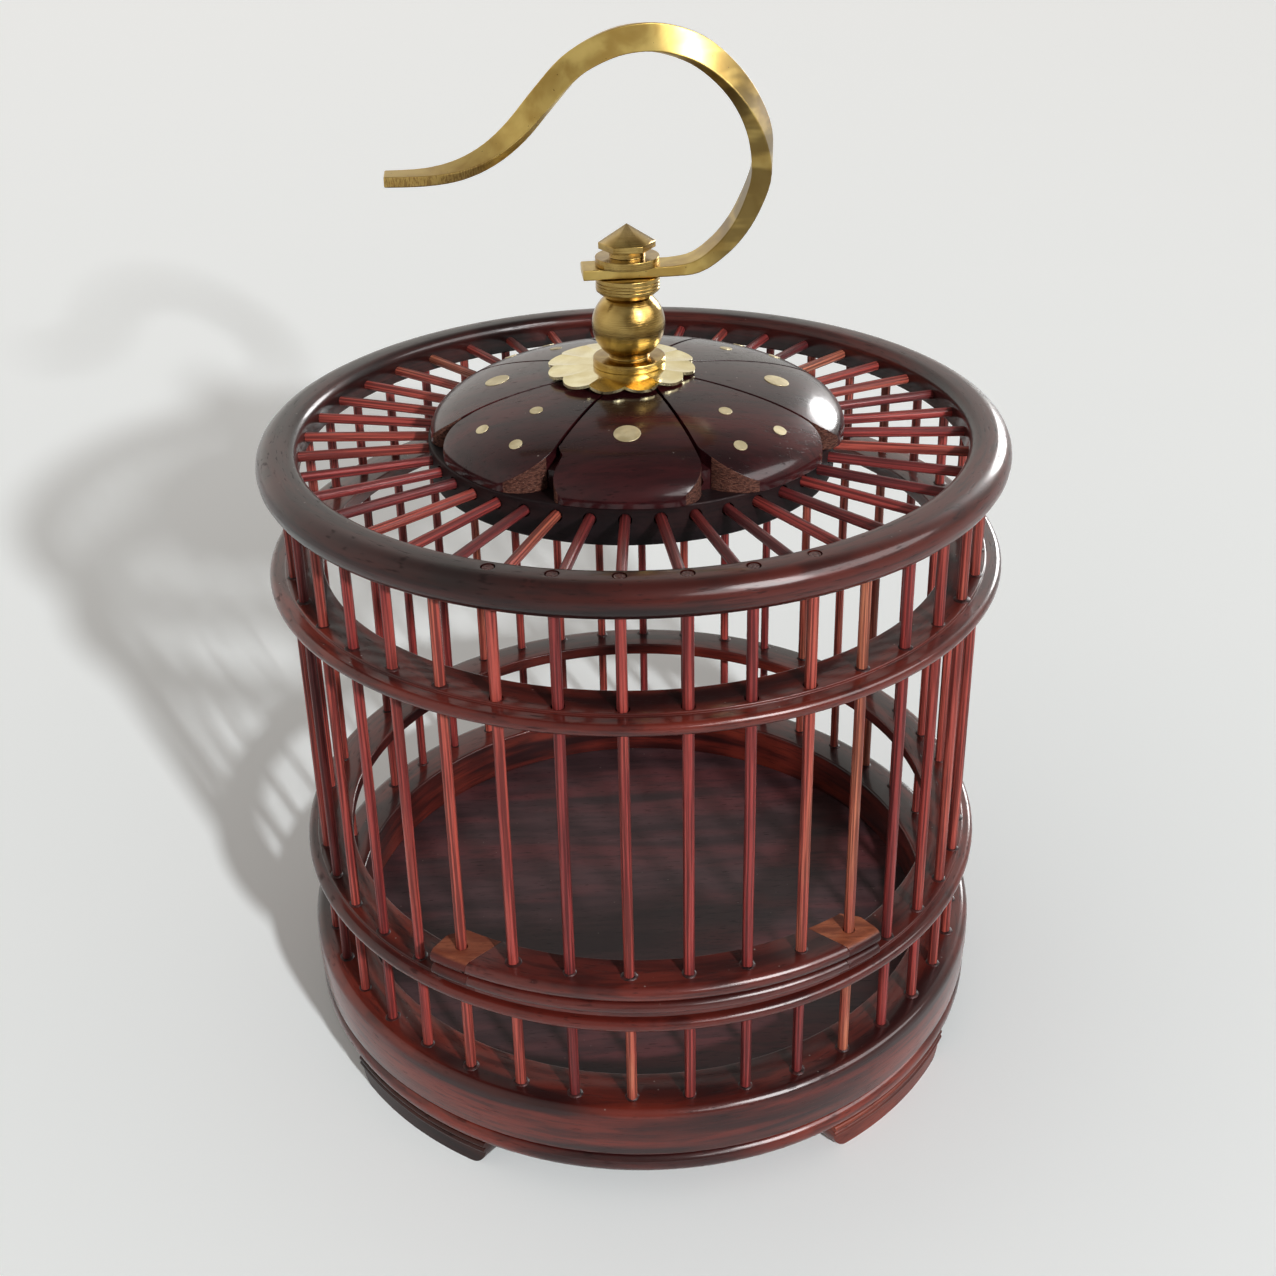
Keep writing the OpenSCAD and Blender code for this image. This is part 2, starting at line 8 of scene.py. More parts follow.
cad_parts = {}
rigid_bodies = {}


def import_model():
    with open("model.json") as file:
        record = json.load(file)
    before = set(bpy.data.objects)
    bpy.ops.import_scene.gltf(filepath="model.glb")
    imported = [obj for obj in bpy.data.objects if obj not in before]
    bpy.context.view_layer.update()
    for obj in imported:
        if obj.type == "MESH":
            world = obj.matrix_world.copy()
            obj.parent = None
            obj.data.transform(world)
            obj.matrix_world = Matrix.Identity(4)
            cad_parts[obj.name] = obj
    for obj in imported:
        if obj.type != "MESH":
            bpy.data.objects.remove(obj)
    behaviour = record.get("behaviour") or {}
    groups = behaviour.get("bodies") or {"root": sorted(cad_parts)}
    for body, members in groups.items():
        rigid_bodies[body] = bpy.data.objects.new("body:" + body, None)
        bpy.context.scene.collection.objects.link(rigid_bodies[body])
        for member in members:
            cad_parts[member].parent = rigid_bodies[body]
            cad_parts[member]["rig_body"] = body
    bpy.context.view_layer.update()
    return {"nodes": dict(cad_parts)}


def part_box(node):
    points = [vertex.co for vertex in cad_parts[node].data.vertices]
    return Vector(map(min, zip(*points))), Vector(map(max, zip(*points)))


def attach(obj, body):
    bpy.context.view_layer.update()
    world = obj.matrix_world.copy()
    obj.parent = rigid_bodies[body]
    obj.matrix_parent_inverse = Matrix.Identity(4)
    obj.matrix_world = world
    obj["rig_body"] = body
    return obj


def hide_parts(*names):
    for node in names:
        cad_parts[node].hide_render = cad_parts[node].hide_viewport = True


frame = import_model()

# Base ring: one thick ring of lacquered rosewood, turned on a lathe with a rounded shoulder, a swelling
# band and a bead at its foot. Forty bars stand in sockets drilled round its top, and the floor is let in
# from below.
MM = 0.001
RING_STEPS = 192
ARC_POINTS = 5
NEARLY_STRAIGHT = 1.55
SMOOTH_ANGLE = 35
HOLE_SIDES = 20


def reach(node):
    """Least and greatest distance of a frame node from the cage's axis."""
    radii = [v.co.xy.length for v in frame["nodes"][node].data.vertices]
    return min(radii), max(radii)


def heights(node):
    """Lowest and highest level of a frame node."""
    return tuple(corner.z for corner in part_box(node))


def about(az, radius=0.0, z=0.0):
    """The place at an angle from the middle of the door, with local -Y pointing outwards."""
    return Matrix.Rotation(az, 4, "Z") @ Matrix.Translation((0, -radius, z))


def rounded(corners):
    """An outline's points from its corners (across, up, radius), with an arc where the radius isn't 0."""
    points = []
    for i, (x, z, radius) in enumerate(corners):
        corner = Vector((x, z))
        back = (Vector(corners[i - 1][:2]) - corner).normalized()
        on = (Vector(corners[(i + 1) % len(corners)][:2]) - corner).normalized()
        half = back.angle(on, math.pi) / 2
        if radius == 0 or half > NEARLY_STRAIGHT:
            points.append(corner)
            continue
        centre = corner + (back + on).normalized() * radius / math.sin(half)
        start = corner + back * radius / math.tan(half) - centre
        end = corner + on * radius / math.tan(half) - centre
        turn = start.angle_signed(end)
        for k in range(ARC_POINTS + 1):
            points.append(centre + Matrix.Rotation(-turn * k / ARC_POINTS, 2) @ start)
    return points


def pick(*pieces):
    """Selects these pieces and nothing else, with the first of them active."""
    bpy.ops.object.select_all(action="DESELECT")
    for piece in pieces:
        piece.select_set(True)
    bpy.context.view_layer.objects.active = pieces[0]


def edit(piece):
    """Opens one piece for editing, with all of it selected and nothing else."""
    pick(piece)
    bpy.ops.object.mode_set(mode="EDIT")
    bpy.ops.mesh.select_all(action="SELECT")


def close_up(piece, angle=SMOOTH_ANGLE, near=0.002 * MM):
    """Merges what meets, points the faces outwards and smooths all but the sharp edges."""
    edit(piece)
    bpy.ops.mesh.remove_doubles(threshold=near)
    bpy.ops.mesh.dissolve_degenerate(threshold=near)
    bpy.ops.mesh.select_all(action="SELECT")
    bpy.ops.mesh.normals_make_consistent(inside=False)
    bpy.ops.object.mode_set(mode="OBJECT")
    bpy.ops.object.shade_smooth_by_angle(angle=math.radians(angle))


def turned(name, corners, steps=RING_STEPS):
    """A piece turned on the lathe: its half section, spun about the cage's axis."""
    outline = rounded(corners)
    bpy.ops.object.select_all(action="DESELECT")
    bpy.ops.mesh.primitive_circle_add(vertices=len(outline), fill_type="NOTHING")
    piece = bpy.context.object
    piece.name = name
    for vertex, point in zip(piece.data.vertices, outline):
        vertex.co = (point.x, 0, point.y)
    edit(piece)
    bpy.ops.mesh.spin(steps=steps, angle=2 * math.pi, center=(0, 0, 0), axis=(0, 0, 1))
    bpy.ops.object.mode_set(mode="OBJECT")
    close_up(piece)
    return piece


def apply_modifier(piece, kind, **settings):
    """Adds one modifier with these settings and applies it."""
    pick(piece)
    modifier = piece.modifiers.new(kind.title(), kind)
    for key, value in settings.items():
        setattr(modifier, key, value)
    bpy.ops.object.modifier_apply(modifier=modifier.name)


def joined(pieces, name):
    """Joins pieces as one, under a name."""
    pick(*pieces)
    if len(pieces) > 1:
        bpy.ops.object.join()
    pieces[0].name = name
    return pieces[0]


def copies(piece, places, name):
    """Copies of a piece at these places, each with its own mesh, joined as one. The pattern piece goes."""
    made = []
    for place in places:
        copy = piece.copy()
        copy.data = piece.data.copy()
        copy.data.transform(place)
        bpy.context.scene.collection.objects.link(copy)
        made.append(copy)
    bpy.data.objects.remove(piece)
    return joined(made, name)


def drill(piece, places, radius, depth):
    """Bores round holes of a depth, which start at these places and run along their local -Z."""
    bpy.ops.object.select_all(action="DESELECT")
    bpy.ops.mesh.primitive_cylinder_add(
        vertices=HOLE_SIDES, radius=radius, depth=depth, location=(0, 0, -depth / 2)
    )
    bit = bpy.context.object
    bpy.ops.object.transform_apply(location=True)
    bits = copies(bit, places, "drill_bits")
    apply_modifier(piece, "BOOLEAN", operation="DIFFERENCE", object=bits, solver="MANIFOLD")
    bpy.data.objects.remove(bits)
    pick(piece)
    bpy.ops.object.shade_smooth_by_angle(angle=math.radians(SMOOTH_ANGLE))


def set_in(piece, node, slot, *materials):
    """Puts a finished piece in its node's place, on the node's body, with its finishes."""
    piece.data.materials.clear()
    for material in materials:
        piece.data.materials.append(material)
    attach(piece, frame["nodes"][node]["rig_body"])
    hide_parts(node)


class Flow:
    """A value in a material's nodes. Its operators add Math nodes, and node() adds any other kind."""

    def __init__(self, socket):
        self.socket = socket

    def node(self, kind, settings, sockets, out=0):
        tree = self.socket.id_data
        made = tree.nodes.new("ShaderNode" + kind)
        for key, value in settings.items():
            if key == "stops":
                while len(made.color_ramp.elements) < len(value):
                    made.color_ramp.elements.new(0.5)
                for element, (position, colour) in zip(made.color_ramp.elements, value):
                    element.position = position
                    element.color = (*colour, 1)
            else:
                setattr(made, key, value)
        for key, value in sockets.items():
            if isinstance(value, Flow):
                tree.links.new(value.socket, made.inputs[key])
            else:
                made.inputs[key].default_value = value
        return Flow(made.outputs[out])

    def math(self, operation, *values):
        return self.node("Math", {"operation": operation}, dict(enumerate(values)))

    def __add__(self, other):
        return self.math("ADD", self, other)

    def __sub__(self, other):
        return self.math("SUBTRACT", self, other)

    def __rsub__(self, other):
        return self.math("SUBTRACT", other, self)

    def __mul__(self, other):
        return self.math("MULTIPLY", self, other)

    __radd__ = __add__
    __rmul__ = __mul__

    def part(self, axis):
        return self.node("SeparateXYZ", {}, {0: self}, "XYZ".index(axis))

    def vector(self, operation, other=(0, 0, 0), out=0):
        return self.node("VectorMath", {"operation": operation}, {0: self, 1: other}, out)

    def stretch(self, x, y, z):
        return self.vector("MULTIPLY", (x, y, z))

    def noise(self, scale, detail=3.0, distortion=0.0):
        sockets = {"Vector": self, "Scale": scale, "Detail": detail, "Distortion": distortion}
        return self.node("TexNoise", {}, sockets)

    def between(self, low, high):
        """0 at low, 1 at high, with a soft change."""
        sockets = {"Value": self, "From Min": low, "From Max": high}
        return self.node("MapRange", {"interpolation_type": "SMOOTHSTEP"}, sockets)

    def blend(self, first, second):
        """Colours, or flows of them, mixed by this value."""
        def full(colour):
            return colour if isinstance(colour, Flow) else (*colour, 1)
        return self.node("Mix", {"data_type": "RGBA"}, {0: self, 6: full(first), 7: full(second)}, 2)

    def into(self, shader, name):
        self.socket.id_data.links.new(self.socket, shader.inputs[name])

    def bump(self, shader, distance):
        """Raises the surface by this height times a distance."""
        sockets = {"Height": self, "Distance": distance, "Strength": 1.0}
        self.node("Bump", {}, sockets).into(shader, "Normal")


def new_finish(name, **sockets):
    """A new material, its shader with these sockets set, and the place on the piece in millimetres."""
    material = bpy.data.materials.new(name)
    material.use_nodes = True
    tree = material.node_tree
    shader = tree.nodes["Principled BSDF"]
    for key, value in sockets.items():
        shader.inputs[key.replace("_", " ")].default_value = value
    place = Flow(tree.nodes.new("ShaderNodeTexCoord").outputs["Object"])
    return material, shader, place.stretch(1 / MM, 1 / MM, 1 / MM)


def round_grain(place):
    """Grain that runs round a ring built up from bent staves."""
    flat = place.stretch(1, 1, 0)
    section = place.part("Z") + 0.6 * flat.vector("LENGTH", out=1)
    lift = place.node("CombineXYZ", {}, {2: section})
    return flat.vector("NORMALIZE").stretch(4, 4, 0).vector("ADD", lift)


def wood_colour(grain, dark, brown, red):
    """Rosewood's colour, from its figure, red patches and dark streaks, then the figure and the pores."""
    figure = grain.noise(0.35, 4, 0.6)
    streak = grain.noise(1.9, 3, 0.3).between(0.45, 0.7)
    pores = grain.stretch(2.5, 2.5, 2.5).noise(2.4, 2).between(0.6, 0.72)
    glow = grain.stretch(1, 1, 0.6).noise(0.22, 2, 0.4).between(0.47, 0.66)
    colour = figure.between(0.36, 0.62).blend(dark, brown)
    colour = (0.8 * glow).blend(colour, red)
    colour = (0.6 * streak).blend(colour, dark)
    colour = (0.55 * pores).blend(colour, tuple(0.35 * c for c in dark))
    return colour, figure, pores


def dust(place):
    """Pale specks of dust that lie on what faces up."""
    cells = {"Vector": place, "Scale": 0.55}
    near = 1 - place.node("TexVoronoi", {}, cells).between(0.03, 0.1)
    some = place.noise(0.2, 2).between(0.5, 0.62)
    up = place.node("NewGeometry", {}, {}, 1).part("Z").between(0.7, 0.9)
    return near * some * up


def rosewood(name, dark, brown, red, along=None, gloss=0.3, shine=0.12, lacquer=0.22, dusty=0.5):
    """Rosewood under a thin lacquer. Its grain runs round the piece, or along the axis stretched least."""
    material, shader, place = new_finish(name, Specular_IOR_Level=shine, Coat_Roughness=0.12)
    grain = place.stretch(*along) if along else round_grain(place)
    colour, figure, pores = wood_colour(grain, dark, brown, red)
    (dusty * dust(place)).blend(colour, (0.34, 0.27, 0.24)).into(shader, "Base Color")
    (gloss + 0.12 * figure + 0.15 * pores).into(shader, "Roughness")
    (lacquer - 0.6 * lacquer * pores).into(shader, "Coat Weight")
    (0.35 * figure - 0.6 * pores).bump(shader, 0.02 * MM)
    return material


ring_wood = rosewood(
    "ring_rosewood", dark=(0.022, 0.0045, 0.0045), brown=(0.11, 0.0145, 0.0098), red=(0.2, 0.027, 0.015),
    lacquer=0.7
)
BAR_COUNT = 40
PITCH = 2 * math.pi / BAR_COUNT
BAR_R = 0.75 * MM
BAR_CIRCLE = reach("sill_bars")[1] - BAR_R
HOLE_R = 0.94 * MM
DRILL_CLEAR = 1 * MM
RING_DRILL = 5 * MM


def azimuth(number):
    """A bar's angle from the middle of the door, by its number."""
    return (number + 0.5) * PITCH


all_azimuths = [azimuth(k) for k in range(BAR_COUNT)]
SHOULDER_R = 1.3 * MM
BAND_R = 30 * MM
GROOVE_UP = 3.3 * MM
GROOVE_IN = 1.2 * MM
GROOVE_HALF = 0.3 * MM
GROOVE_LIP = 0.4 * MM
FOOT_BEAD_IN = 0.2 * MM
base_in, base_out = reach("base_ring")
base_low, base_high = heights("base_ring")
floor_low, floor_high = heights("floor_panel")
floor_r = reach("floor_panel")[1]
groove_z = base_low + GROOVE_UP
base_ring = turned("base_ring_turned", [
    (base_in, base_high, 0.4 * MM),
    (base_out - 0.1 * MM, base_high, SHOULDER_R),
    (base_out, (groove_z + base_high) / 2, BAND_R),
    (base_out - 0.25 * MM, groove_z + GROOVE_LIP, 0.3 * MM),
    (base_out - GROOVE_IN, groove_z + GROOVE_HALF, 0.15 * MM),
    (base_out - GROOVE_IN, groove_z - GROOVE_HALF, 0.15 * MM),
    (base_out - FOOT_BEAD_IN, groove_z - GROOVE_LIP, SHOULDER_R),
    (base_out - FOOT_BEAD_IN, base_low, SHOULDER_R),
    (floor_r, base_low, 0.2 * MM),
    (floor_r, floor_high, 0),
    (base_in, floor_high, 0.2 * MM),
])
base_sockets = [about(az, BAR_CIRCLE, base_high + DRILL_CLEAR) for az in all_azimuths]
drill(base_ring, base_sockets, HOLE_R, RING_DRILL)
set_in(base_ring, "base_ring", "ring_wood", ring_wood)

# Floor panel: a flat disc of dark rosewood, planed and oiled, let into the base from below and glued.
# Its grain runs across the cage, a little askew, with purple-black figure and a few red streaks.
floor_wood = rosewood(
    "floor_rosewood", dark=(0.034, 0.0165, 0.019), brown=(0.07, 0.032, 0.035), red=(0.12, 0.031, 0.034),
    along=(0.08, 0.5, 1), gloss=0.45, shine=0.3, lacquer=0.05, dusty=0.3
)
floor = turned("floor_panel_planed", [
    (0, floor_high, 0), (floor_r, floor_high, 0), (floor_r, floor_low, 0.3 * MM), (0, floor_low, 0)
])
set_in(floor, "floor_panel", "floor_wood", floor_wood)

# Feet: four short curved blocks of rosewood under the base, each with two thin beads along its top and ends
# that curl in to the sole. They are cut from a moulded ring and glued on. The left feet get a painted shade,
# a darker finish, and the right feet a painted light, a lighter and redder finish of the same wood.
painted_shade_foot_wood = rosewood(
    "painted_shade_foot_rosewood", dark=(0.01, 0.004, 0.004), brown=(0.03, 0.01, 0.009), red=(0.05, 0.014, 0.01),
    dusty=0.2
)
painted_light_foot_wood = rosewood(
    "painted_light_foot_rosewood", dark=(0.06, 0.013, 0.01), brown=(0.18, 0.032, 0.019), red=(0.27, 0.052, 0.027),
    dusty=0.2
)
MERGE_NEAR = 0.01 * MM


def merged_copy(node, name):
    """A copy of a frame node's solid, with its triangles merged and its round faces smooth."""
    piece = bpy.data.objects.new(name, frame["nodes"][node].data.copy())
    bpy.context.scene.collection.objects.link(piece)
    pick(piece)
    bpy.ops.mesh.customdata_custom_splitnormals_clear()
    close_up(piece, near=MERGE_NEAR)
    return piece


# Painted light and shade: the left feet take the darker finish as shade, the right feet the lighter one as
# lit.
for side, foot_wood in (("left", painted_shade_foot_wood), ("right", painted_light_foot_wood)):
    for foot in ("foot_front_" + side, "foot_back_" + side):
        set_in(merged_copy(foot, foot + "_moulded"), foot, "ring_wood", foot_wood)

# Hoops: two thin flat rings of rosewood with a half-round bead round the edge, threaded over the bars.
# The holes are drilled a little wide, so a dark line of shadow and glue shows round each bar.
STEP_OUT = 1.1 * MM
HOOP_BEAD_H = 1.8 * MM
HOOP_BEAD_R = 0.85 * MM
HOOP_EDGE_R = 0.25 * MM
for hoop in ("lower_hoop", "upper_hoop"):
    hoop_in, hoop_out = reach(hoop)
    hoop_low, hoop_high = heights(hoop)
    step_r = BAR_CIRCLE + STEP_OUT
    bead_top = hoop_low + HOOP_BEAD_H
    ring = turned(hoop + "_turned", [
        (hoop_in, hoop_high, HOOP_EDGE_R),
        (step_r, hoop_high, 0.15 * MM),
        (step_r, bead_top, 0.1 * MM),
        (hoop_out, bead_top, HOOP_BEAD_R),
        (hoop_out, hoop_low, HOOP_BEAD_R),
        (hoop_in, hoop_low, HOOP_EDGE_R),
    ])
    hoop_holes = [about(az, BAR_CIRCLE, hoop_high + DRILL_CLEAR) for az in all_azimuths]
    drill(ring, hoop_holes, HOLE_R, RING_DRILL)
    set_in(ring, hoop, "ring_wood", ring_wood)

# Top rim: a heavy bull-nosed ring of rosewood that ties the tops of the wall bars and the outer ends
# of the roof bars. The door's bars pass right through it and show as small round ends on its top.
rim_in, rim_out = reach("top_rim")
rim_low, rim_high = heights("top_rim")
roof_z = sum(heights("roof_bars")) / 2
DOOR_BARS = range(-3, 3)
FIXED_BARS = range(3, BAR_COUNT - 3)
RIM_NOSE_R = 2.45 * MM
RIM_INNER_R = 1.6 * MM
RIM_DRILL = 8 * MM
WALL_COVER = 1.2 * MM
WALL_DRILL = 6 * MM
ROOF_SOCKET = 1.5 * MM
ROOF_DRILL = 3 * MM
rim = turned("top_rim_turned", [
    (rim_in, rim_high, RIM_INNER_R),
    (rim_out, rim_high, RIM_NOSE_R),
    (rim_out, rim_low, RIM_NOSE_R),
    (rim_in, rim_low, 0.3 * MM),
])
inwards = Matrix.Rotation(-math.pi / 2, 4, "X")
door_holes = [about(azimuth(k), BAR_CIRCLE, rim_high + DRILL_CLEAR) for k in DOOR_BARS]
drill(rim, door_holes, HOLE_R, RIM_DRILL)
wall_sockets = [about(azimuth(k), BAR_CIRCLE, rim_high - WALL_COVER) for k in FIXED_BARS]
drill(rim, wall_sockets, HOLE_R, WALL_DRILL)
roof_sockets = [about(az, rim_in + ROOF_SOCKET, roof_z) @ inwards for az in all_azimuths]
drill(rim, roof_sockets, HOLE_R, ROOF_DRILL)
rim_wood = rosewood(
    "rim_rosewood", dark=(0.01, 0.0028, 0.0028), brown=(0.042, 0.007, 0.0055), red=(0.1, 0.015, 0.01),
    lacquer=0.5, dusty=0.3
)
set_in(rim, "top_rim", "ring_wood", rim_wood)

# Bars: eighty rods of red rosewood, pulled through a drawplate, so each is nearly round with fine lengthwise
# lines, a little bowed, and of its own shade. They are glued into the rings, and six slide with the door. The
# roof bars are given a painted shade, darker towards the front.
BAR_SIDES = 14
BAR_CUTS = 11
BAR_FIT = 0.985
MEAN_SHADE = 0.5
SHADE_SPREAD = 0.29
BAR_SHARP = 40
hand = random.Random(7)


def bar_finish():
    """Oiled red rosewood that reads each bar's own grain and shade."""
    material, shader, place = new_finish("bar_rosewood", Specular_IOR_Level=0.22, Coat_Roughness=0.15)
    grain = place.node("Attribute", {"attribute_name": "grain"}, {}, 1)
    shade = place.node("Attribute", {"attribute_name": "shade"}, {}, 2)
    line = grain.stretch(3.2, 3.2, 0.05).noise(1.0, 4).between(0.38, 0.6)
    cloud = grain.stretch(0.5, 0.5, 0.07).noise(1.0, 3)
    tone = 0.8 * shade + 0.7 * cloud - 0.25
    colour = tone.node("ValToRGB", {"stops": [
        (0.0, (0.11, 0.02, 0.022)),
        (0.35, (0.32, 0.043, 0.038)),
        (0.7, (0.46, 0.086, 0.06)),
        (1.0, (0.57, 0.195, 0.105)),
    ]}, {0: tone})
    colour = (0.74 * line).blend(colour, (0.035, 0.006, 0.007))
    top = heights("door_bars")[1] / MM
    end = place.part("Z").between(top - 0.12, top - 0.04)
    (0.85 * end).blend(colour, (0.035, 0.008, 0.006)).into(shader, "Base Color")
    (0.32 + 0.2 * line).into(shader, "Roughness")
    (0.15 - 0.1 * line).into(shader, "Coat Weight")
    (1 - line).bump(shader, 0.04 * MM)
    return material


def bars(name, node, length, places, slack, front_painted_shade=0.0):
    """Rods at these places, each with its own bow, section, grain and shade, and if asked a painted shade
    that darkens them to the front.
    """
    bpy.ops.object.select_all(action="DESELECT")
    bpy.ops.mesh.primitive_cylinder_add(vertices=BAR_SIDES, radius=BAR_R, depth=length)
    rod = bpy.context.object
    edit(rod)
    bpy.ops.mesh.select_mode(type="EDGE")
    bpy.ops.mesh.select_all(action="DESELECT")
    bpy.ops.object.mode_set(mode="OBJECT")
    for edge in rod.data.edges:
        start, end = (rod.data.vertices[i].co for i in edge.vertices)
        edge.select = abs(start.z - end.z) > length / 2
    bpy.ops.object.mode_set(mode="EDIT")
    bpy.ops.mesh.subdivide(number_cuts=BAR_CUTS)
    bpy.ops.object.mode_set(mode="OBJECT")
    made = []
    for place in places:
        copy = rod.copy()
        copy.data = rod.data.copy()
        bpy.context.scene.collection.objects.link(copy)
        bow = slack * hand.uniform(0.3, 1)
        towards = hand.uniform(0, 2 * math.pi)
        flat = hand.uniform(0.01, 0.035)
        offset = hand.uniform(0, 4000)
        # Painted shade: when asked, a bar's tone is pulled darker the further to the front it stands.
        to_front = max(0, -place.translation.y / BAR_CIRCLE)
        tone = min(1, max(0, hand.gauss(MEAN_SHADE - front_painted_shade * to_front, SHADE_SPREAD)))
        copy.data.attributes.new("grain", "FLOAT_VECTOR", "POINT")
        copy.data.attributes.new("shade", "FLOAT", "POINT")
        for i, vertex in enumerate(copy.data.vertices):
            along = vertex.co.z / MM + offset
            copy.data.attributes["grain"].data[i].vector = (vertex.co.x / MM, vertex.co.y / MM, along)
            copy.data.attributes["shade"].data[i].value = tone
            swell = bow * math.cos(math.pi * vertex.co.z / length)
            turn = math.atan2(vertex.co.y, vertex.co.x)
            thick = BAR_FIT + flat * math.cos(2 * turn + towards) + flat * math.cos(3 * turn + offset)
            vertex.co.x = vertex.co.x * thick + swell * math.cos(towards)
            vertex.co.y = vertex.co.y * thick + swell * math.sin(towards)
        copy.data.transform(place)
        made.append(copy)
    bpy.data.objects.remove(rod)
    joined(made, name)
    bpy.ops.object.shade_smooth_by_angle(angle=math.radians(BAR_SHARP))
    set_in(made[0], node, "bar_wood", bar_wood)


def upright_bars(name, node, numbers, slack):
    """Standing bars, by their numbers round from the middle of the door."""
    low, high = heights(node)
    places = [about(azimuth(k), BAR_CIRCLE, (low + high) / 2) for k in numbers]
    bars(name, node, high - low, places, slack)


bar_wood = bar_finish()
upright_bars("wall_bars_drawn", "wall_bars", FIXED_BARS[1:-1], 0.16 * MM)
upright_bars("guide_bar_left_drawn", "guide_bar_left", FIXED_BARS[-1:], 0.02 * MM)
upright_bars("guide_bar_right_drawn", "guide_bar_right", FIXED_BARS[:1], 0.02 * MM)
upright_bars("sill_bars_drawn", "sill_bars", DOOR_BARS, 0.05 * MM)
upright_bars("door_bars_drawn", "door_bars", DOOR_BARS, 0.06 * MM)
roof_from, roof_to = reach("roof_bars")
outwards = Matrix.Rotation(math.pi / 2, 4, "X")
roof_places = [about(az, (roof_from + roof_to) / 2, roof_z) @ outwards for az in all_azimuths]
# The roof bars get a painted shade, darker towards the front where the dome shades them.
bars("roof_bars_drawn", "roof_bars", roof_to - roof_from, roof_places, 0.12 * MM, front_painted_shade=0.6)

# Glue beads: drops of dark glue and lacquer that ran round the foot of the bars and set there, on the base,
# on the two hoops and on the door's rail. No two are alike.
GLUE_R = 1.12 * MM
GLUE_FLAT = 0.34
GLUE_UNDER = 0.12 * MM
GLUE_SPREAD = ((0.82, 1.12), (0.82, 1.12), (0.3, 1.0))
GLUE_ASIDE = 0.1
GLUE_SHARP = 50


def glue_finish():
    """Set glue: nearly black red, smooth and shiny, duller where dust has caught."""
    material, shader, place = new_finish("set_glue", Specular_IOR_Level=0.25)
    cloud = place.noise(1.5, 2)
    cloud.between(0.35, 0.65).blend((0.012, 0.003, 0.003), (0.05, 0.009, 0.008)).into(shader, "Base Color")
    (0.3 + 0.25 * cloud).into(shader, "Roughness")
    return material


bpy.ops.object.select_all(action="DESELECT")
bpy.ops.mesh.primitive_uv_sphere_add(segments=14, ring_count=8, radius=GLUE_R)
bead = bpy.context.object
edit(bead)
bpy.ops.transform.resize(value=(1, 1, GLUE_FLAT))
bpy.ops.mesh.bisect(plane_co=(0, 0, -GLUE_UNDER), plane_no=(0, 0, 1), clear_inner=True, use_fill=True)
bpy.ops.object.mode_set(mode="OBJECT")
close_up(bead, GLUE_SHARP)


def glue_beads(name, node, levels):
    """Drops of glue round bars, by their level and the bars' numbers. They ride with a node's body."""
    places = []
    for level, numbers in levels:
        for k in numbers:
            spread = Matrix.Diagonal([hand.uniform(*span) for span in GLUE_SPREAD] + [1])
            aside = hand.uniform(-GLUE_ASIDE, GLUE_ASIDE) * MM
            places.append(about(azimuth(k), BAR_CIRCLE + aside, level) @ spread)
    drops = copies(bead.copy(), places, name)
    drops.data.materials.append(set_glue)
    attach(drops, frame["nodes"][node]["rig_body"])


set_glue = glue_finish()
glue_beads("glue_beads", "base_ring", [
    (base_high, range(BAR_COUNT)),
    (heights("lower_hoop")[1], FIXED_BARS[1:-1]),
    (heights("upper_hoop")[1], FIXED_BARS),
])
glue_beads("door_glue_beads", "door_rail", [(heights("door_rail")[1], DOOR_BARS)])
bpy.data.objects.remove(bead)

# Roof hub: a thick turned disc of blackish rosewood at the middle of the roof. The inner ends of the roof
# bars are glued into holes round its side.
hub_wood = rosewood(
    "hub_rosewood", dark=(0.004, 0.0025, 0.003), brown=(0.01, 0.005, 0.006), red=(0.02, 0.007, 0.007),
    gloss=0.5, lacquer=0.02, dusty=0.15
)
HUB_DRILL = 3.4 * MM
hub_bore, hub_r = reach("roof_hub")
hub_low, hub_high = heights("roof_hub")
hub = turned("roof_hub_turned", [
    (hub_bore, hub_high, 0), (hub_r, hub_high, 0.3 * MM), (hub_r, hub_low, 0.5 * MM), (hub_bore, hub_low, 0)
])
hub_sockets = [about(az, hub_r + DRILL_CLEAR, roof_z) @ outwards for az in all_azimuths]
drill(hub, hub_sockets, HOLE_R, HUB_DRILL)
set_in(hub, "roof_hub", "hub_wood", hub_wood)

# Petal dome: one turned cap of dark polished rosewood, sawn by hand into eight petals. The saw kerfs open at
# the edge into rounded notches, no two alike, whose upright walls are left raw.
dome_wood = rosewood(
    "dome_rosewood", dark=(0.015, 0.003, 0.004), brown=(0.038, 0.0062, 0.0074), red=(0.078, 0.0115, 0.0115),
    along=(0.1, 0.5, 0.5), gloss=0.22, shine=0.1, lacquer=0.45, dusty=0.6
)


def sawn_finish():
    """Raw rosewood as the saw and the knife left it: dull, paler, and scored by the teeth."""
    material, shader, place = new_finish("sawn_rosewood", Specular_IOR_Level=0.15)
    score = place.stretch(1.5, 1.5, 5).noise(1.2, 3)
    fibre = place.noise(4.0, 4)
    colour = score.between(0.35, 0.65).blend((0.04, 0.0135, 0.01), (0.14, 0.054, 0.037))
    (fibre.between(0.6, 0.75) * 0.4).blend(colour, (0.3, 0.19, 0.14)).into(shader, "Base Color")
    (0.75 + 0.15 * fibre).into(shader, "Roughness")
    (score + fibre).bump(shader, 0.15 * MM)
    return material


